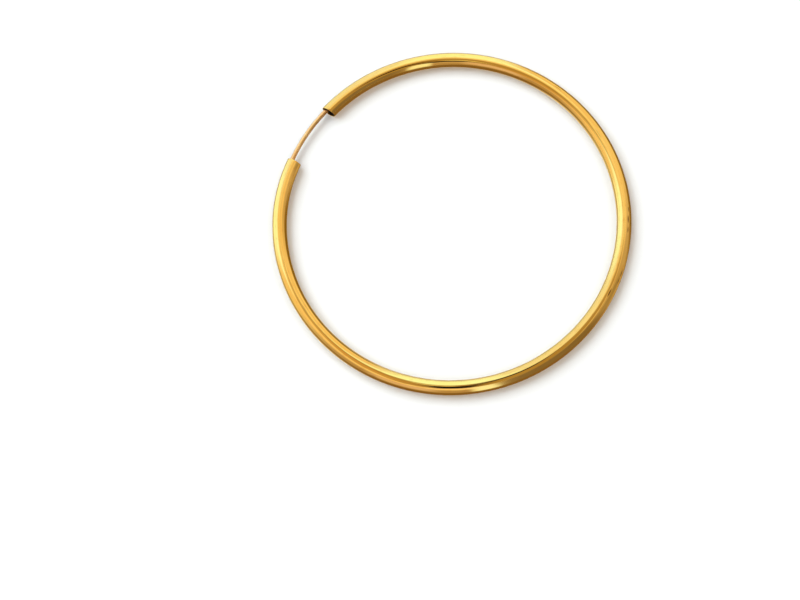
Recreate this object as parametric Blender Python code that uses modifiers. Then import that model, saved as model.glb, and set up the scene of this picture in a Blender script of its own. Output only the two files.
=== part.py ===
"""Hollow hoop earring that closes with its own springy ear wire, lying on its side.

Units are metres and +Z is up. The origin is the centre of the ring, on the surface that
the ring lies on. +Z is the ring's axis. +Y points at the ear wire, which is the top when
the earring is worn. The open end of the tube is on the +X side of the gap, and the end
that holds the ear wire is on the -X side.
"""

import math

import bmesh
import bpy

# The tube
HOOP_OUTER_DIAMETER = 0.0600
TUBE_DIAMETER = 0.0025
TUBE_WALL = 0.00015
GAP_BETWEEN_ENDS = 0.0107
RIM_ROUNDING = 0.00004

# The ear wire and the plug that is soldered on its root
WIRE_DIAMETER = 0.0008
WIRE_IN_OPEN_END = 0.0060
PLUG_LENGTH = 0.0030
PLUG_SETBACK = 0.0004
PLUG_CHAMFER = 0.00005
PLUG_FACE_BESIDE_WIRE = 0.00005
PLUG_FIT_GAP = 0.0003

# How finely the round forms are divided
TUBE_SIDES = 16
TUBE_STEPS = 96
WIRE_POINT_SPACING = 0.0012
WIRE_BEVEL_RESOLUTION = 4
TIP_STEPS = 4
TIP_LAST_TURN = math.radians(75.0)
FEWEST_WIRE_STEPS = 6
RIM_EDGE_ANGLE = math.radians(60.0)
SHARP_EDGE_ANGLE = math.radians(35.0)
MERGE_DISTANCE = 0.000001

# Sizes that follow from the ones above
TUBE_RADIUS = TUBE_DIAMETER / 2.0
BORE_RADIUS = TUBE_RADIUS - TUBE_WALL
RING_RADIUS = HOOP_OUTER_DIAMETER / 2.0 - TUBE_RADIUS
HALF_GAP_ANGLE = math.asin(GAP_BETWEEN_ENDS / 2.0 / RING_RADIUS)
WIRE_RADIUS = WIRE_DIAMETER / 2.0
PLUG_RADIUS = BORE_RADIUS - PLUG_FIT_GAP
TOP_ANGLE = math.radians(90.0)
OPEN_END_ANGLE = TOP_ANGLE - HALF_GAP_ANGLE
FIXED_END_ANGLE = TOP_ANGLE + HALF_GAP_ANGLE
WIRE_OFFSET = PLUG_RADIUS - PLUG_CHAMFER - PLUG_FACE_BESIDE_WIRE - WIRE_RADIUS

# Linear colours: yellow gold for the tube, paler and pinker gold for the wire
TUBE_GOLD = (0.80, 0.52, 0.14, 1.0)
WIRE_GOLD = (0.84, 0.62, 0.34, 1.0)
POLISHED = 0.12
DRAWN = 0.24


def clear_scene():
    for thing in list(bpy.data.objects):
        bpy.data.objects.remove(thing, do_unlink=True)


def new_collection(name):
    group = bpy.data.collections.new(name)
    bpy.context.scene.collection.children.link(group)
    return group


def gold(name, colour, roughness):
    material = bpy.data.materials.new(name)
    material.use_nodes = True
    shader = material.node_tree.nodes["Principled BSDF"]
    shader.inputs["Base Color"].default_value = colour
    shader.inputs["Metallic"].default_value = 1.0
    shader.inputs["Roughness"].default_value = roughness
    material.diffuse_color = colour
    return material


def along_ring(length):
    """The angle, seen from the ring's centre, that a length takes up on the centre line."""
    return length / RING_RADIUS


def ring_point(angle, offset):
    """A point at the tube's mid height, offset outward from the tube's centre line."""
    radius = RING_RADIUS + offset
    return (radius * math.cos(angle), radius * math.sin(angle), TUBE_RADIUS)


def tube_profile(name):
    """The tube's outline as a closed polygon at +X that stands on one flat side.

    Its flat sides lie at the true radius, so the ring rests on flat facets. It runs down
    its outer side.
    """
    corner_radius = TUBE_RADIUS / math.cos(math.pi / TUBE_SIDES)
    outline = bmesh.new()
    corners = []
    for side in range(TUBE_SIDES):
        turn = -2.0 * math.pi * (side + 0.5) / TUBE_SIDES
        x = RING_RADIUS + corner_radius * math.cos(turn)
        z = TUBE_RADIUS + corner_radius * math.sin(turn)
        corners.append(outline.verts.new((x, 0.0, z)))
    for side in range(TUBE_SIDES):
        outline.edges.new((corners[side], corners[(side + 1) % TUBE_SIDES]))
    mesh = bpy.data.meshes.new(name)
    outline.to_mesh(mesh)
    outline.free()
    return mesh


def make_hoop_tube(group, material):
    """Turn the outline about the ring's axis, from the fixed end round to the open end."""
    tube = bpy.data.objects.new("hoop_tube", tube_profile("hoop_tube"))
    group.objects.link(tube)
    tube.rotation_euler.z = FIXED_END_ANGLE
    tube.data.materials.append(material)

    turning = tube.modifiers.new("turn", "SCREW")
    turning.axis = "Z"
    turning.angle = 2.0 * math.pi - 2.0 * HALF_GAP_ANGLE
    turning.steps = TUBE_STEPS
    turning.render_steps = TUBE_STEPS
    turning.merge_threshold = MERGE_DISTANCE
    turning.use_smooth_shade = True

    hollow = tube.modifiers.new("hollow", "SOLIDIFY")
    hollow.thickness = TUBE_WALL
    hollow.offset = -1.0
    hollow.use_even_offset = True
    hollow.use_rim = True

    rims = tube.modifiers.new("rounded_rims", "BEVEL")
    rims.width = RIM_ROUNDING
    rims.segments = 1
    rims.limit_method = "ANGLE"
    rims.angle_limit = RIM_EDGE_ANGLE
    return tube


def bent_rod(name, stations, thickness):
    """A closed rod through stations of (angle, offset, share of the full thickness)."""
    curve = bpy.data.curves.new(name, "CURVE")
    curve.dimensions = "3D"
    curve.bevel_depth = thickness / 2.0
    curve.bevel_resolution = WIRE_BEVEL_RESOLUTION
    curve.use_fill_caps = True
    spline = curve.splines.new("POLY")
    spline.points.add(len(stations) - 1)
    for point, (angle, offset, share) in zip(spline.points, stations):
        point.co = (*ring_point(angle, offset), 1.0)
        point.radius = share

    guide = bpy.data.objects.new(name, curve)
    bpy.context.scene.collection.objects.link(guide)
    bpy.context.view_layer.update()
    evaluated = guide.evaluated_get(bpy.context.evaluated_depsgraph_get())
    mesh = bpy.data.meshes.new_from_object(evaluated)
    place = guide.matrix_world.copy()
    bpy.data.objects.remove(guide, do_unlink=True)
    bpy.data.curves.remove(curve)

    welded = bmesh.new()
    welded.from_mesh(mesh)
    bmesh.ops.remove_doubles(welded, verts=welded.verts, dist=MERGE_DISTANCE)
    welded.to_mesh(mesh)
    welded.free()
    mesh.name = name
    mesh.shade_smooth()
    mesh.set_sharp_from_angle(angle=SHARP_EDGE_ANGLE)
    rod = bpy.data.objects.new(name, mesh)
    rod.matrix_world = place
    return rod


def plug_stations():
    """The plug fills the fixed end, with its two edges chamfered."""
    chamfered = 1.0 - PLUG_CHAMFER / PLUG_RADIUS
    face = FIXED_END_ANGLE + along_ring(PLUG_SETBACK)
    back = face + along_ring(PLUG_LENGTH)
    chamfer = along_ring(PLUG_CHAMFER)
    middle = (face + back) / 2.0
    return [
        (face, 0.0, chamfered),
        (face + chamfer, 0.0, 1.0),
        (middle, 0.0, 1.0),
        (back - chamfer, 0.0, 1.0),
        (back, 0.0, chamfered),
    ]


def wire_stations():
    """The wire runs from the plug across the gap and into the open end, beside the middle."""
    root = FIXED_END_ANGLE + along_ring(PLUG_SETBACK + PLUG_LENGTH / 2.0)
    tip = OPEN_END_ANGLE - along_ring(WIRE_IN_OPEN_END - WIRE_RADIUS)
    steps = max(FEWEST_WIRE_STEPS, round((root - tip) * RING_RADIUS / WIRE_POINT_SPACING))
    stations = []
    for step in range(steps + 1):
        stations.append((root + (tip - root) * step / steps, WIRE_OFFSET, 1.0))
    for step in range(1, TIP_STEPS + 1):
        turn = TIP_LAST_TURN * step / TIP_STEPS
        angle = tip - along_ring(WIRE_RADIUS * math.sin(turn))
        stations.append((angle, WIRE_OFFSET, math.cos(turn)))
    return stations


def make_ear_wire(group, tools, material):
    """The wire and the plug are soldered, so a union makes them one piece."""
    plug = bent_rod("wire_plug", plug_stations(), 2.0 * PLUG_RADIUS)
    plug.hide_render = True
    plug.display_type = "WIRE"
    tools.objects.link(plug)

    wire = bent_rod("ear_wire", wire_stations(), WIRE_DIAMETER)
    wire.data.materials.append(material)
    group.objects.link(wire)
    solder = wire.modifiers.new("soldered_plug", "BOOLEAN")
    solder.operation = "UNION"
    solder.solver = "EXACT"
    solder.object = plug
    return wire


def main():
    clear_scene()
    earring = new_collection("hoop_earring")
    tools = new_collection("cutters")
    base = bpy.data.objects.new("hoop_earring", None)
    earring.objects.link(base)
    pieces = [
        make_hoop_tube(earring, gold("yellow_gold", TUBE_GOLD, POLISHED)),
        make_ear_wire(earring, tools, gold("pale_gold_wire", WIRE_GOLD, DRAWN)),
    ]
    for piece in pieces:
        piece.parent = base


main()
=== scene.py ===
"""Looks of the hollow hoop earring: polished yellow gold tube, drawn ear wire, white studio."""

import math

import bmesh
import bpy
from mathutils import Matrix, Vector, noise


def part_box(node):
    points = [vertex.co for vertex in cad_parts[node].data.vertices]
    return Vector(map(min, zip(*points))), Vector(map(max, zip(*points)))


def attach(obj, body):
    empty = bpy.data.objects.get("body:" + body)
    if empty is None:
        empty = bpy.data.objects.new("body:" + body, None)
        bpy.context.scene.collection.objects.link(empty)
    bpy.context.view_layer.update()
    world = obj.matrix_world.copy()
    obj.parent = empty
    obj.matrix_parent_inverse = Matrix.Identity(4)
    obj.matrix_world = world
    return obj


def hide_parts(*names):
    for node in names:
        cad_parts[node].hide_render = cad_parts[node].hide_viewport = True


MM = 0.001

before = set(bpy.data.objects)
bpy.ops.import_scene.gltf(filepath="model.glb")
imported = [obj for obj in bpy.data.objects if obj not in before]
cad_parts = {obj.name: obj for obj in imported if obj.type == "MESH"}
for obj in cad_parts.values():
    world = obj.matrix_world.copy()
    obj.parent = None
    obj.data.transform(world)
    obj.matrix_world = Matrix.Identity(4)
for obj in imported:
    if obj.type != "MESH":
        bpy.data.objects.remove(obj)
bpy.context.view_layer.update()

# Sizes read from the frame. The skin keeps the smooth surfaces inside the faceted solids.
SKIN = 0.01 * MM
tube_low, tube_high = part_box("hoop_tube")
TUBE_RADIUS = (tube_high.z - tube_low.z) / 2.0 - SKIN
TUBE_HEIGHT = (tube_high.z + tube_low.z) / 2.0
RING_RADIUS = (tube_high.x - tube_low.x) / 2.0 - TUBE_RADIUS

# Sizes that part.py holds too
TUBE_WALL = 0.15 * MM
GAP_BETWEEN_ENDS = 10.7 * MM
WIRE_RADIUS = 0.4 * MM
WIRE_IN_OPEN_END = 6.0 * MM
WIRE_OFFSET = 0.3 * MM
PLUG_LENGTH = 3.0 * MM
PLUG_SETBACK = 0.4 * MM

BORE_RADIUS = TUBE_RADIUS - TUBE_WALL
TOP_ANGLE = math.radians(90.0)
HALF_GAP_ANGLE = math.asin(GAP_BETWEEN_ENDS / 2.0 / RING_RADIUS)
OPEN_END_ANGLE = TOP_ANGLE - HALF_GAP_ANGLE
FIXED_END_ANGLE = TOP_ANGLE + HALF_GAP_ANGLE

# The camera of the photograph: where it stands, and the floor point at the picture's middle
CAMERA_AZIMUTH = -44.7
CAMERA_ELEVATION = 74.45
CAMERA_ROLL = -13.0
CAMERA_DISTANCE = 248.7 * MM
LOOK_AT = Vector((-16.0 * MM, -0.14 * MM, 0.0))
LENS = 67.5
SENSOR_WIDTH = 36.0


def new_object(name, mesh):
    thing = bpy.data.objects.new(name, mesh)
    bpy.context.scene.collection.objects.link(thing)
    return thing


# The camera and the picture's own directions on the floor


def make_camera():
    azimuth = math.radians(CAMERA_AZIMUTH)
    elevation = math.radians(CAMERA_ELEVATION)
    back = Vector((
        math.sin(azimuth) * math.cos(elevation),
        -math.cos(azimuth) * math.cos(elevation),
        math.sin(elevation),
    ))
    turned = back.to_track_quat("Z", "Y").to_matrix() @ Matrix.Rotation(
        math.radians(CAMERA_ROLL), 3, "Z")
    data = bpy.data.cameras.new("photo_camera")
    data.lens = LENS
    data.sensor_width = SENSOR_WIDTH
    data.clip_start = 1.0 * MM
    data.clip_end = 10.0
    camera = new_object("photo_camera", data)
    camera.location = LOOK_AT + back * CAMERA_DISTANCE
    camera.rotation_euler = turned.to_euler()
    bpy.context.scene.camera = camera
    right = turned.col[0]
    return math.atan2(right.y, right.x)


def direction(picture_angle, elevation):
    """A direction by its angle on the picture, counted from the picture's right, and its
    elevation above the floor, both in degrees."""
    around = math.radians(picture_angle) + PICTURE_RIGHT
    up = math.radians(elevation)
    return Vector((math.cos(around) * math.cos(up), math.sin(around) * math.cos(up), math.sin(up)))


# Meshes of bent tubes


def along_ring(length):
    return length / RING_RADIUS


def ring_point(angle, offset, height):
    radius = RING_RADIUS + offset
    return Vector((radius * math.cos(angle), radius * math.sin(angle), TUBE_HEIGHT + height))


def round_point(angle, offset, radius, turn):
    return ring_point(angle, offset + radius * math.cos(turn), radius * math.sin(turn))


def loft(mesh, stations, sides, closed, point=round_point):
    """Rings of vertices through stations of (angle, offset of the centre, radius), joined by
    quads. A closed loft runs back to its first ring, and an open one gets two end caps."""
    rings = []
    for angle, offset, radius in stations:
        turns = [2.0 * math.pi * side / sides for side in range(sides)]
        rings.append([mesh.verts.new(point(angle, offset, radius, turn)) for turn in turns])
    spans = len(rings) if closed else len(rings) - 1
    bands = []
    for index in range(spans):
        one, two = rings[index], rings[(index + 1) % len(rings)]
        band = []
        for side in range(sides):
            after = (side + 1) % sides
            band.append(mesh.faces.new((one[side], one[after], two[after], two[side])))
        bands.append(band)
    if not closed:
        mesh.faces.new(list(reversed(rings[0])))
        mesh.faces.new(rings[-1])
    return bands


def mesh_data(name, mesh):
    data = bpy.data.meshes.new(name)
    mesh.to_mesh(data)
    mesh.free()
    return data


def finish_mesh(name, mesh, sharp_angle):
    bmesh.ops.recalc_face_normals(mesh, faces=mesh.faces)
    data = mesh_data(name, mesh)
    data.shade_smooth()
    data.set_sharp_from_angle(angle=math.radians(sharp_angle))
    return data


# The tube: one closed skin that runs along the outside, round each lip and back in the bore

TUBE_START = FIXED_END_ANGLE
TUBE_END = OPEN_END_ANGLE + 2.0 * math.pi
TUBE_SIDES = 96
OUTSIDE_STEPS = 720
BORE_STEPS = 120
LIP_STEPS = 6
LIP_WALL = 0.08 * MM
TUBE_SHARP_ANGLE = 60.0

# Slow waves and fine ripples of the drawn and bent tube
WAVE_HEIGHT = 0.007 * MM
WAVE_LENGTH = 7.0 * MM
WAVE_WIDTH = 2.2 * MM
RIPPLE_HEIGHT = 0.003 * MM
RIPPLE_LENGTH = 1.8 * MM
RIPPLE_WIDTH = 0.6 * MM

# Near its two ends the tube is bent a little further in than the ring, and neither end is
# cut quite square: the tube's inner side is the shorter one.
END_DRAW_IN = 0.21 * MM
END_BEND_POWER = 1.5
FIXED_END_REACH = 10.0 * MM
OPEN_END_REACH = 21.0 * MM
OPEN_CUT_LEAN = math.radians(12.0)
FIXED_CUT_LEAN = math.radians(4.0)
CUT_REACH = 5.0 * MM

# The dents' angles are on the picture, from its right, where the gap's middle has this angle.
GAP_PICTURE_ANGLE = 148.5
DENTS = [
    # angle, degrees round the tube from its outer side, length, width and depth in millimetres
    (2.8, 52.0, 0.9, 0.20, 0.010),
    (359.4, 60.0, 1.2, 0.24, 0.012),
    (358.4, 30.0, 0.8, 0.20, 0.010),
    (355.8, 60.0, 0.9, 0.20, 0.010),
    (341.2, 40.0, 1.2, 0.24, 0.011),
    (338.6, 42.0, 1.0, 0.20, 0.009),
    (333.6, 72.0, 1.4, 0.24, 0.013),
    (31.0, 92.0, 2.2, 0.18, 0.004),
    (52.0, 70.0, 1.6, 0.20, 0.004),
    (214.0, 96.0, 1.8, 0.20, 0.003),
    (246.0, 40.0, 1.4, 0.20, 0.004),
]
DEEPEST_DENT = max(dent[-1] for dent in DENTS)
DENT_REACH_IN_HALF_LENGTHS = 3.0


def dent_place(picture_angle, around):
    """Where a dent lies: the angle on the ring, from the tube's start, and the turn round it."""
    angle = TOP_ANGLE + math.radians((picture_angle - GAP_PICTURE_ANGLE) % 360.0)
    return angle, math.radians(around)


def waves(angle, turn, height, length, width):
    """Unevenness of a height, longer along the tube than around it. It is never above zero."""
    across = TUBE_RADIUS / width
    place = Vector((angle * RING_RADIUS / length, across * math.cos(turn), across * math.sin(turn)))
    return height * (noise.noise(place) - 1.0)


def dent_depth(angle, turn):
    depth = 0.0
    for picture_angle, around, length, width, deepest in DENTS:
        dent_angle, dent_turn = dent_place(picture_angle, around)
        along = (angle - dent_angle) * RING_RADIUS / (length * MM / 2.0)
        if abs(along) > DENT_REACH_IN_HALF_LENGTHS:
            continue
        turned = math.remainder(turn - dent_turn, 2.0 * math.pi)
        across = turned * TUBE_RADIUS / (width * MM / 2.0)
        depth += deepest * MM * math.exp(-along * along - across * across)
    return depth


def end_share(distance, reach):
    """One at a tube's end, and nothing from a reach on."""
    return max(0.0, 1.0 - max(0.0, distance) / reach) ** END_BEND_POWER


def drawn_in(angle):
    """The offset of the tube's centre line from the ring, inward near both ends."""
    fixed_end = end_share((angle - TUBE_START) * RING_RADIUS, FIXED_END_REACH)
    open_end = end_share((TUBE_END - angle) * RING_RADIUS, OPEN_END_REACH)
    return -END_DRAW_IN * (fixed_end + open_end)


def tube_point(angle, offset, radius, turn):
    uneven = radius + waves(angle, turn, WAVE_HEIGHT, WAVE_LENGTH, WAVE_WIDTH)
    uneven += waves(angle, turn, RIPPLE_HEIGHT, RIPPLE_LENGTH, RIPPLE_WIDTH)
    uneven -= dent_depth(angle, turn)
    outward = uneven * math.cos(turn)
    open_cut = end_share((TUBE_END - angle) * RING_RADIUS, CUT_REACH) * math.tan(OPEN_CUT_LEAN)
    fixed_cut = end_share((angle - TUBE_START) * RING_RADIUS, CUT_REACH) * math.tan(FIXED_CUT_LEAN)
    leaned = angle + along_ring(outward * (open_cut - fixed_cut))
    return ring_point(leaned, offset + drawn_in(angle) + outward, uneven * math.sin(turn))


def lip_stations(end_angle, inward):
    """A half round at a tube's end, whose wall was thinned when its bore was deburred.
    inward is +1 where the tube lies at larger angles."""
    half_wall = LIP_WALL / 2.0
    middle = TUBE_RADIUS - half_wall
    stations = []
    for step in range(LIP_STEPS + 1):
        turn = math.pi * step / LIP_STEPS
        angle = end_angle + inward * along_ring(half_wall * (1.0 - math.sin(turn)))
        stations.append((angle, 0.0, middle - half_wall * math.cos(turn)))
    return stations


def make_tube(metal, inside):
    lip = along_ring(LIP_WALL / 2.0)
    span = TUBE_END - TUBE_START - 2.0 * lip
    start_lip = lip_stations(TUBE_START, 1.0)
    end_lip = list(reversed(lip_stations(TUBE_END, -1.0)))
    outside = []
    for step in range(1, OUTSIDE_STEPS):
        outside.append((TUBE_START + lip + span * step / OUTSIDE_STEPS, 0.0, TUBE_RADIUS))
    bore = []
    for step in range(1, BORE_STEPS):
        bore.append((TUBE_END - lip - span * step / BORE_STEPS, 0.0, BORE_RADIUS))
    mesh = bmesh.new()
    bands = loft(mesh, start_lip + outside + end_lip + bore, TUBE_SIDES, True, tube_point)
    first_bore_band = len(start_lip) + len(outside) + len(end_lip)
    # The bore's faces take the material that holds the bore's painted shade
    for band in bands[first_bore_band - 1:]:
        for face in band:
            face.material_index = 1
    tube = new_object("polished_tube", finish_mesh("polished_tube", mesh, TUBE_SHARP_ANGLE))
    tube.data.materials.append(metal)
    tube.data.materials.append(inside)
    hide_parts("hoop_tube")
    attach(tube, "root")
    return tube


# The ear wire and its plug

WIRE_SIDES = 32
WIRE_STEPS = 110
PLUG_SIDES = 48
PLUG_CLEARANCE = 0.03 * MM
PLUG_EDGE = 0.08 * MM
PLUG_EDGE_STEPS = 4
PLUG_BODY_STEPS = 4
SOLDER_RISE = 0.15 * MM
SOLDER_STEPS = 8
TIP_STEPS = 8
WIRE_SHARP_ANGLE = 40.0


def solder_growth(distance):
    """How much thicker the wire is, this far out of the plug's face, where solder climbs it."""
    if distance >= SOLDER_RISE:
        return 0.0
    rest = 1.0 - max(0.0, distance) / SOLDER_RISE
    return SOLDER_RISE * (1.0 - math.sqrt(max(0.0, 1.0 - rest * rest)))


def wire_stations():
    face = FIXED_END_ANGLE + along_ring(PLUG_SETBACK)
    root = face + along_ring(PLUG_LENGTH / 2.0)
    tip = OPEN_END_ANGLE - along_ring(WIRE_IN_OPEN_END - WIRE_RADIUS)
    angles = [root + (tip - root) * step / WIRE_STEPS for step in range(WIRE_STEPS + 1)]
    fillet = []
    for step in range(1, SOLDER_STEPS + 1):
        fillet.append(face - along_ring(SOLDER_RISE) * step / SOLDER_STEPS)
    stations = []
    for angle in sorted(set(angles + fillet), reverse=True):
        grown = WIRE_RADIUS + solder_growth((face - angle) * RING_RADIUS)
        stations.append((angle, WIRE_OFFSET, grown))
    for step in range(1, TIP_STEPS):
        turn = math.pi / 2.0 * step / TIP_STEPS
        angle = tip - along_ring(WIRE_RADIUS * math.sin(turn))
        stations.append((angle, WIRE_OFFSET, WIRE_RADIUS * math.cos(turn)))
    return stations


def plug_stations():
    radius = BORE_RADIUS - PLUG_CLEARANCE
    face = FIXED_END_ANGLE + along_ring(PLUG_SETBACK)
    back = face + along_ring(PLUG_LENGTH)
    stations = []
    for step in range(PLUG_EDGE_STEPS + 1):
        turn = math.pi / 2.0 * step / PLUG_EDGE_STEPS
        angle = face + along_ring(PLUG_EDGE * (1.0 - math.sin(turn)))
        stations.append((angle, drawn_in(angle), radius - PLUG_EDGE * (1.0 - math.cos(turn))))
    stations.reverse()
    for step in range(1, PLUG_BODY_STEPS + 1):
        angle = face + (back - face) * step / PLUG_BODY_STEPS
        stations.append((angle, drawn_in(angle), radius))
    return stations


def make_wire(metal):
    plug_mesh = bmesh.new()
    loft(plug_mesh, plug_stations(), PLUG_SIDES, False)
    plug = new_object("solder_plug", finish_mesh("solder_plug", plug_mesh, WIRE_SHARP_ANGLE))
    wire_mesh = bmesh.new()
    loft(wire_mesh, wire_stations(), WIRE_SIDES, False)
    wire = new_object("sprung_wire", finish_mesh("sprung_wire", wire_mesh, WIRE_SHARP_ANGLE))
    union = wire.modifiers.new("solder", "BOOLEAN")
    union.operation = "UNION"
    union.object = plug
    bpy.context.view_layer.update()
    graph = bpy.context.evaluated_depsgraph_get()
    joined = bpy.data.meshes.new_from_object(wire.evaluated_get(graph))
    wire.modifiers.clear()
    wire.data = joined
    joined.name = "sprung_wire"
    joined.shade_smooth()
    joined.set_sharp_from_angle(angle=math.radians(WIRE_SHARP_ANGLE))
    bpy.data.objects.remove(plug)
    wire.data.materials.clear()
    wire.data.materials.append(metal)
    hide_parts("ear_wire")
    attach(wire, "root")
    return wire


# Materials, with linear colours. Each metal drifts between a deep and a light colour.

DEEP_GOLD = (0.93, 0.64, 0.21, 1.0)
LIGHT_GOLD = (0.96, 0.69, 0.26, 1.0)
SPECK_GOLD = (0.84, 0.47, 0.13, 1.0)
# Painted shade: the dark brown put into the middle of each dent
PAINTED_DENT_SHADE = (0.16, 0.06, 0.012, 1.0)
DEEP_WIRE = (0.93, 0.65, 0.39, 1.0)
LIGHT_WIRE = (0.95, 0.72, 0.47, 1.0)
PINK_WIRE = (0.88, 0.50, 0.27, 1.0)
PINK_WIRE_REACH = 3.0 * MM
# Painted shade of the deep bore, near black and brown
DARK_BORE_SHADE = (0.012, 0.006, 0.003, 1.0)
BROWN_BORE_SHADE = (0.05, 0.026, 0.010, 1.0)


def node(tree, kind, **settings):
    made = tree.nodes.new(kind)
    for name, value in settings.items():
        setattr(made, name, value)
    return made


def math_node(tree, operation, *inputs):
    made = node(tree, "ShaderNodeMath", operation=operation)
    connect(tree, made, *inputs)
    return made.outputs[0]


def connect(tree, made, *inputs):
    for socket, value in zip(made.inputs, inputs):
        if isinstance(value, bpy.types.NodeSocket):
            tree.links.new(value, socket)
        elif value is not None:
            socket.default_value = value


def unbent(tree):
    """The place on the earring as if its ring were a straight rod: along it, out and up."""
    place = node(tree, "ShaderNodeTexCoord").outputs["Object"]
    parts = node(tree, "ShaderNodeSeparateXYZ")
    connect(tree, parts, place)
    x, y, z = parts.outputs
    away = math_node(tree, "SQRT", math_node(tree, "ADD", math_node(tree, "MULTIPLY", x, x),
                                             math_node(tree, "MULTIPLY", y, y)))
    turned = math_node(tree, "ARCTAN2", x, math_node(tree, "MULTIPLY", y, -1.0))
    together = node(tree, "ShaderNodeCombineXYZ")
    connect(tree, together, math_node(tree, "MULTIPLY", turned, RING_RADIUS),
            math_node(tree, "SUBTRACT", away, RING_RADIUS),
            math_node(tree, "SUBTRACT", z, TUBE_HEIGHT))
    return together.outputs[0]


def stretched_noise(tree, place, along, across, detail=2.0, roughness=0.5):
    """Noise whose grain is along long and across wide, in metres."""
    scale = node(tree, "ShaderNodeVectorMath", operation="MULTIPLY")
    connect(tree, scale, place, (1.0 / along, 1.0 / across, 1.0 / across))
    grain = node(tree, "ShaderNodeTexNoise")
    tree.links.new(scale.outputs[0], grain.inputs["Vector"])
    grain.inputs["Scale"].default_value = 1.0
    grain.inputs["Detail"].default_value = detail
    grain.inputs["Roughness"].default_value = roughness
    return grain.outputs["Fac"]


def ramp(tree, value, low, high, out_low, out_high):
    made = node(tree, "ShaderNodeMapRange", interpolation_type="SMOOTHSTEP")
    connect(tree, made, value, low, high, out_low, out_high)
    return made.outputs[0]


def mix_colour(tree, factor, one, two):
    made = node(tree, "ShaderNodeMix", data_type="RGBA")
    for name, value in (("Factor_Float", factor), ("A_Color", one), ("B_Color", two)):
        socket = next(s for s in made.inputs if s.identifier == name)
        if isinstance(value, bpy.types.NodeSocket):
            tree.links.new(value, socket)
        else:
            socket.default_value = value
    return next(s for s in made.outputs if s.identifier == "Result_Color")


def dent_shade_mask(tree, place):
    """How much painted shade lies at a place on the tube: most in the middle of each dent."""
    mask = 0.0
    for picture_angle, around, length, width, depth in DENTS:
        angle, turn = dent_place(picture_angle, around)
        along = (angle - TOP_ANGLE - math.pi) * RING_RADIUS
        middle = (along, TUBE_RADIUS * math.cos(turn), TUBE_RADIUS * math.sin(turn))
        apart = node(tree, "ShaderNodeVectorMath", operation="SUBTRACT")
        connect(tree, apart, place, middle)
        scaled = node(tree, "ShaderNodeVectorMath", operation="MULTIPLY")
        connect(tree, scaled, apart.outputs[0],
                (2.0 / (length * MM), 2.0 / (width * MM), 2.0 / (width * MM)))
        away = node(tree, "ShaderNodeVectorMath", operation="LENGTH")
        connect(tree, away, scaled.outputs[0])
        share = depth / DEEPEST_DENT
        mask = math_node(tree, "MAXIMUM", mask,
                         ramp(tree, away.outputs["Value"], 0.4, 1.4, share, 0.0))
    return mask


def bump(tree, height, distance, normal=None):
    made = node(tree, "ShaderNodeBump")
    made.inputs["Strength"].default_value = 1.0
    made.inputs["Distance"].default_value = distance
    tree.links.new(height, made.inputs["Height"])
    if normal is not None:
        tree.links.new(normal, made.inputs["Normal"])
    return made.outputs[0]


def new_material(name):
    material = bpy.data.materials.new(name)
    material.use_nodes = True
    tree = material.node_tree
    shader = tree.nodes["Principled BSDF"]
    return material, tree, shader


def polished_gold():
    material, tree, shader = new_material("polished_yellow_gold")
    place = unbent(tree)
    clouds = stretched_noise(tree, place, 9.0 * MM, 3.0 * MM)
    lines = stretched_noise(tree, place, 4.0 * MM, 0.05 * MM, 3.0)
    colour = mix_colour(tree, ramp(tree, clouds, 0.3, 0.7, 0.0, 1.0),
                        DEEP_GOLD, LIGHT_GOLD)
    specks = stretched_noise(tree, place, 1.3 * MM, 0.35 * MM, 3.0)
    colour = mix_colour(tree, ramp(tree, specks, 0.52, 0.78, 0.0, 0.45), colour, SPECK_GOLD)
    # Painted shade: the middle of each dent is darkened towards a dark brown
    dent_shade = dent_shade_mask(tree, place)
    colour = mix_colour(tree, math_node(tree, "MULTIPLY", dent_shade, 0.9), colour, PAINTED_DENT_SHADE)
    tree.links.new(colour, shader.inputs["Base Color"])
    shader.inputs["Metallic"].default_value = 1.0
    rough = math_node(tree, "ADD", ramp(tree, clouds, 0.35, 0.75, 0.05, 0.10),
                      ramp(tree, lines, 0.5, 0.8, 0.0, 0.06))
    rough = math_node(tree, "ADD", rough, math_node(tree, "MULTIPLY", dent_shade, 0.1))
    tree.links.new(rough, shader.inputs["Roughness"])
    tree.links.new(bump(tree, lines, 0.0004 * MM), shader.inputs["Normal"])
    return material


def drawn_gold():
    material, tree, shader = new_material("drawn_pale_gold")
    place = unbent(tree)
    clouds = stretched_noise(tree, place, 3.0 * MM, 0.8 * MM)
    lines = stretched_noise(tree, place, 3.0 * MM, 0.03 * MM, 3.0)
    colour = mix_colour(tree, ramp(tree, clouds, 0.3, 0.7, 0.0, 1.0),
                        DEEP_WIRE, LIGHT_WIRE)
    parts = node(tree, "ShaderNodeSeparateXYZ")
    connect(tree, parts, place)
    from_far_side = math_node(tree, "ABSOLUTE", parts.outputs["X"])
    near_tube = math.pi * RING_RADIUS - GAP_BETWEEN_ENDS / 2.0
    pinkness = ramp(tree, from_far_side, near_tube, near_tube + PINK_WIRE_REACH, 0.6, 0.0)
    colour = mix_colour(tree, pinkness, colour, PINK_WIRE)
    tree.links.new(colour, shader.inputs["Base Color"])
    shader.inputs["Metallic"].default_value = 1.0
    rough = math_node(tree, "ADD", ramp(tree, clouds, 0.3, 0.7, 0.20, 0.28),
                      ramp(tree, lines, 0.45, 0.8, 0.0, 0.10))
    tree.links.new(rough, shader.inputs["Roughness"])
    tree.links.new(bump(tree, lines, 0.0015 * MM), shader.inputs["Normal"])
    return material


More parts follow.
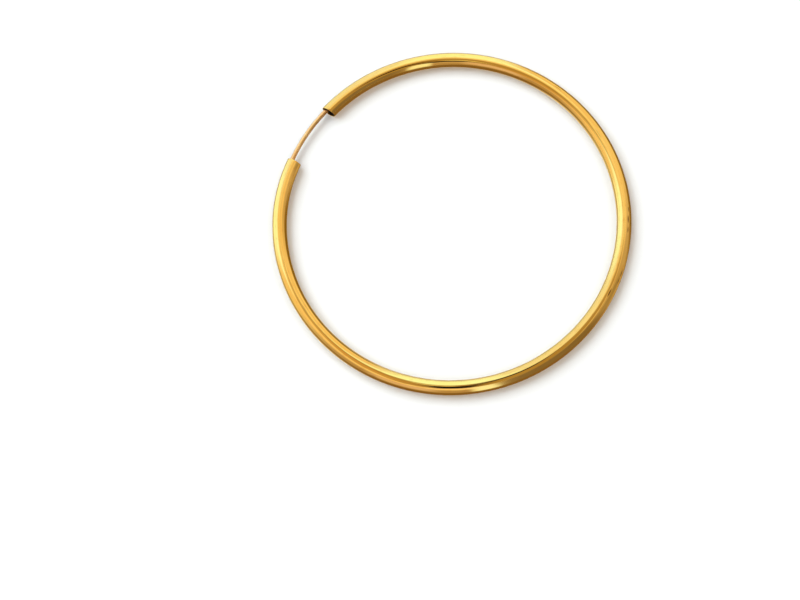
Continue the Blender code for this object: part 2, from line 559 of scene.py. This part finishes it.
def shaded_bore():
    # The bore's near-black and brown colours are painted shade of its deep inside; the dull finish is
    # its own
    material, tree, shader = new_material("shaded_bore")
    place = unbent(tree)
    bore_shade_noise = stretched_noise(tree, place, 2.0 * MM, 0.6 * MM, 4.0)
    colour = mix_colour(tree, ramp(tree, bore_shade_noise, 0.35, 0.7, 0.0, 1.0),
                        DARK_BORE_SHADE, BROWN_BORE_SHADE)
    tree.links.new(colour, shader.inputs["Base Color"])
    shader.inputs["Metallic"].default_value = 0.7
    shader.inputs["Roughness"].default_value = 0.62
    tree.links.new(bump(tree, bore_shade_noise, 0.01 * MM), shader.inputs["Normal"])
    return material


# The studio that the metal reflects. The walls' angles are on the picture, from its right, as
# direction() takes them, their edges are degrees above the floor, and each covers those before
# it in the list. The cards hang over the ring, a lower one in front of a higher one. Their
# rows are in millimetres, counted from the ring's centre to the picture's right and top.

CEILING = (1.00, 0.80, 0.45)
WALLS = [
    # name, from, to, low edge, high edge, softness sideways, softness upward, colour
    ("tan_wall", 205.0, 285.0, -90.0, 40.0, 15.0, 10.0, (0.80, 0.65, 0.45)),
    ("low_tan_wall", 210.0, 290.0, -90.0, 35.0, 20.0, 15.0, (0.50, 0.35, 0.20)),
    ("pink_curtain", 235.0, 260.0, 5.0, 45.0, 5.0, 10.0, (0.80, 0.60, 0.50)),
    ("curtain_rail", 255.0, 285.0, 50.0, 65.0, 5.0, 2.0, (1.10, 0.90, 0.70)),
    ("hall", 300.0, 385.0, -90.0, 65.0, 15.0, 10.0, (0.60, 0.45, 0.25)),
    ("low_orange_wall", 10.0, 75.0, -90.0, 0.0, 15.0, 10.0, (0.25, 0.15, 0.02)),
    ("brown_wall", 290.0, 340.0, -90.0, 60.0, 10.0, 10.0, (0.25, 0.18, 0.10)),
    ("bright_wall", 75.0, 160.0, -90.0, 60.0, 5.0, 5.0, (1.00, 1.05, 0.95)),
    ("window", 80.0, 100.0, 0.0, 70.0, 5.0, 5.0, (1.10, 1.40, 1.20)),
    ("side_window", 145.0, 170.0, -10.0, 60.0, 10.0, 5.0, (1.10, 1.40, 1.30)),
    ("doorway", 278.0, 288.0, -30.0, 60.0, 2.5, 5.0, (1.10, 1.20, 1.05)),
    ("pale_panel", 345.0, 355.0, -10.0, 40.0, 5.0, 10.0, (0.40, 0.30, 0.15)),
    ("lit_table", 65.0, 200.0, -90.0, -20.0, 20.0, 5.0, (0.40, 0.40, 0.40)),
    ("shaded_table", 190.0, 340.0, -90.0, -10.0, 20.0, 10.0, (0.25, 0.15, 0.05)),
    ("lit_paper", 60.0, 215.0, -90.0, -40.0, 15.0, 10.0, (0.85, 0.80, 0.65)),
]
CARDS = [
    # name, left, right, near and far edge on the picture, height, softness, colour
    ("brown_card", -50.0, 75.0, -95.0, 30.0, 130.0, 15.0, (0.45, 0.30, 0.10)),
    ("orange_card", -55.0, -20.0, -55.0, 5.0, 85.0, 10.0, (0.65, 0.40, 0.15)),
    ("dark_card", 2.0, 17.0, -13.0, 6.0, 85.0, 2.5, (0.005, 0.004, 0.003)),
    ("pale_card", -10.0, -1.0, -40.0, -3.0, 77.0, 2.0, (0.85, 0.75, 0.40)),
    ("low_dark_card", -10.0, 8.0, -58.0, -20.0, 73.0, 4.0, (0.005, 0.004, 0.003)),
    ("left_card", -25.0, -11.0, 0.0, 14.0, 17.0, 7.0, (0.97, 0.75, 0.42)),
]


def sine(degrees):
    return math.sin(math.radians(max(-90.0, min(90.0, degrees))))


def cosine(degrees):
    return math.cos(math.radians(max(0.0, min(180.0, degrees))))


def heights_between(tree, height, low, high, softness):
    below = ramp(tree, height, sine(high - softness), sine(high + softness), 1.0, 0.0)
    if low <= -90.0:
        return below
    above = ramp(tree, height, sine(low - softness), sine(low + softness), 0.0, 1.0)
    return math_node(tree, "MULTIPLY", above, below)


def make_surroundings():
    """What the polished metal reflects: a warm room with bright windows to the upper left."""
    world = bpy.data.worlds.new("studio")
    bpy.context.scene.world = world
    world.use_nodes = True
    world.cycles_visibility.diffuse = False
    tree = world.node_tree
    sky = node(tree, "ShaderNodeTexCoord").outputs["Generated"]
    flat = node(tree, "ShaderNodeVectorMath", operation="MULTIPLY")
    connect(tree, flat, sky, (1.0, 1.0, 0.0))
    heading = node(tree, "ShaderNodeVectorMath", operation="NORMALIZE")
    connect(tree, heading, flat.outputs[0])
    parts = node(tree, "ShaderNodeSeparateXYZ")
    connect(tree, parts, sky)
    height = parts.outputs["Z"]
    seen = (*CEILING, 1.0)
    for name, start, end, low, high, sideways, upward, colour in WALLS:
        facing = node(tree, "ShaderNodeVectorMath", operation="DOT_PRODUCT", label=name)
        connect(tree, facing, heading.outputs[0], direction((start + end) / 2.0, 0.0))
        half = (end - start) / 2.0
        across = ramp(tree, facing.outputs["Value"], cosine(half + sideways), cosine(half - sideways),
                      0.0, 1.0)
        mask = math_node(tree, "MULTIPLY", across, heights_between(tree, height, low, high, upward))
        seen = mix_colour(tree, mask, seen, (*colour, 1.0))
    background = tree.nodes["Background"]
    tree.links.new(seen, background.inputs["Color"])
    background.inputs["Strength"].default_value = 1.0


def glowing_material(name, colour):
    """A material that holds only a glow of a colour, which its maker still has to link."""
    material, tree, shader = new_material(name)
    tree.nodes.remove(shader)
    glow = node(tree, "ShaderNodeEmission")
    glow.inputs["Color"].default_value = (*colour, 1.0)
    return material, tree, glow


def make_card(name, left, right, near, far, height, softness, colour):
    """A card that hangs over the ring, seen only in the metal. Its edges fade out."""
    mesh = bmesh.new()
    corners = [(left - softness, near - softness), (right + softness, near - softness),
               (right + softness, far + softness), (left - softness, far + softness)]
    mesh.faces.new([mesh.verts.new((x * MM, y * MM, 0.0)) for x, y in corners])
    data = mesh_data(name, mesh)
    material, tree, glow = glowing_material(name, colour)
    parts = node(tree, "ShaderNodeSeparateXYZ")
    connect(tree, parts, node(tree, "ShaderNodeTexCoord").outputs["Object"])
    mask = 1.0
    for place, low, high in ((parts.outputs["X"], left, right), (parts.outputs["Y"], near, far)):
        middle = (low + high) / 2.0 * MM
        away = math_node(tree, "ABSOLUTE", math_node(tree, "SUBTRACT", place, middle))
        half = (high - low) / 2.0
        inside = ramp(tree, away, (half - softness) * MM, (half + softness) * MM, 1.0, 0.0)
        mask = math_node(tree, "MULTIPLY", mask, inside)
    clear = node(tree, "ShaderNodeBsdfTransparent")
    both = node(tree, "ShaderNodeMixShader")
    connect(tree, both, mask, clear.outputs[0], glow.outputs[0])
    tree.links.new(both.outputs[0], tree.nodes["Material Output"].inputs["Surface"])
    data.materials.append(material)
    card = new_object(name, data)
    card.location.z = height * MM
    card.rotation_euler.z = PICTURE_RIGHT
    card.visible_camera = False
    card.visible_diffuse = False
    card.visible_shadow = False


# The lights that fall on the paper: a ring of soft ones, and a cooler one at the windows' side
RING_LIGHTS = 8
RING_POWER = 12.8
RING_COLOUR = (1.0, 0.95, 0.88)
WINDOW_LIGHT_ANGLE = 147.0
WINDOW_LIGHT_POWER = 80.0
WINDOW_LIGHT_COLOUR = (0.774, 0.906, 1.0)
WINDOW_LIGHT_SIZE = 3.2
LIGHT_ELEVATION = 48.0
LIGHT_DISTANCE = 3.0
RING_LIGHT_SIZE = 2.3


def soft_light(name, picture_angle, size, power, colour):
    """A round soft light that shades the paper, and that the metal doesn't mirror."""
    data = bpy.data.lights.new(name, "AREA")
    data.shape = "DISK"
    data.size = size
    data.energy = power
    data.color = colour
    lamp = new_object(name, data)
    towards = direction(picture_angle, LIGHT_ELEVATION)
    lamp.location = towards * LIGHT_DISTANCE
    lamp.rotation_euler = towards.to_track_quat("Z", "Y").to_euler()
    lamp.visible_glossy = False
    lamp.visible_camera = False


# The white paper and the pale surround
PAPER = (0.92, 0.92, 0.92)
FLOOR_HALF_WIDTH = 3.0
BACKDROP = (0.98, 0.98, 0.98)
BACKDROP_RADIUS = 5.0


def make_floor():
    """White paper, which the metal doesn't mirror: its room has tables below it instead."""
    mesh = bmesh.new()
    bmesh.ops.create_grid(mesh, x_segments=1, y_segments=1, size=FLOOR_HALF_WIDTH)
    data = mesh_data("floor", mesh)
    material, tree, shader = new_material("white_paper")
    shader.inputs["Base Color"].default_value = (*PAPER, 1.0)
    shader.inputs["Roughness"].default_value = 1.0
    shader.inputs["Specular IOR Level"].default_value = 0.0
    data.materials.append(material)
    floor = new_object("floor", data)
    floor.visible_glossy = False
    floor.visible_shadow = False


def make_backdrop():
    """A pale surround that shows only where a low view looks past the floor."""
    mesh = bmesh.new()
    bmesh.ops.create_uvsphere(mesh, u_segments=48, v_segments=24, radius=BACKDROP_RADIUS)
    data = mesh_data("backdrop", mesh)
    material, tree, glow = glowing_material("pale_backdrop", BACKDROP)
    tree.links.new(glow.outputs[0], tree.nodes["Material Output"].inputs["Surface"])
    data.materials.append(material)
    backdrop = new_object("backdrop", data)
    backdrop.visible_glossy = False
    backdrop.visible_diffuse = False
    backdrop.visible_shadow = False


PICTURE_RIGHT = make_camera()
make_tube(polished_gold(), shaded_bore())
make_wire(drawn_gold())
make_surroundings()
make_floor()
make_backdrop()
for card in CARDS:
    make_card(*card)
for place in range(RING_LIGHTS):
    soft_light(f"ring_light_{place + 1}", 360.0 * (place + 0.5) / RING_LIGHTS,
               RING_LIGHT_SIZE, RING_POWER, RING_COLOUR)
soft_light("window_light", WINDOW_LIGHT_ANGLE, WINDOW_LIGHT_SIZE,
           WINDOW_LIGHT_POWER, WINDOW_LIGHT_COLOUR)

scene = bpy.context.scene
scene.view_settings.view_transform = "Standard"
scene.view_settings.look = "None"
scene.view_settings.exposure = 0.0
scene.view_settings.gamma = 1.0

bpy.context.view_layer.update()
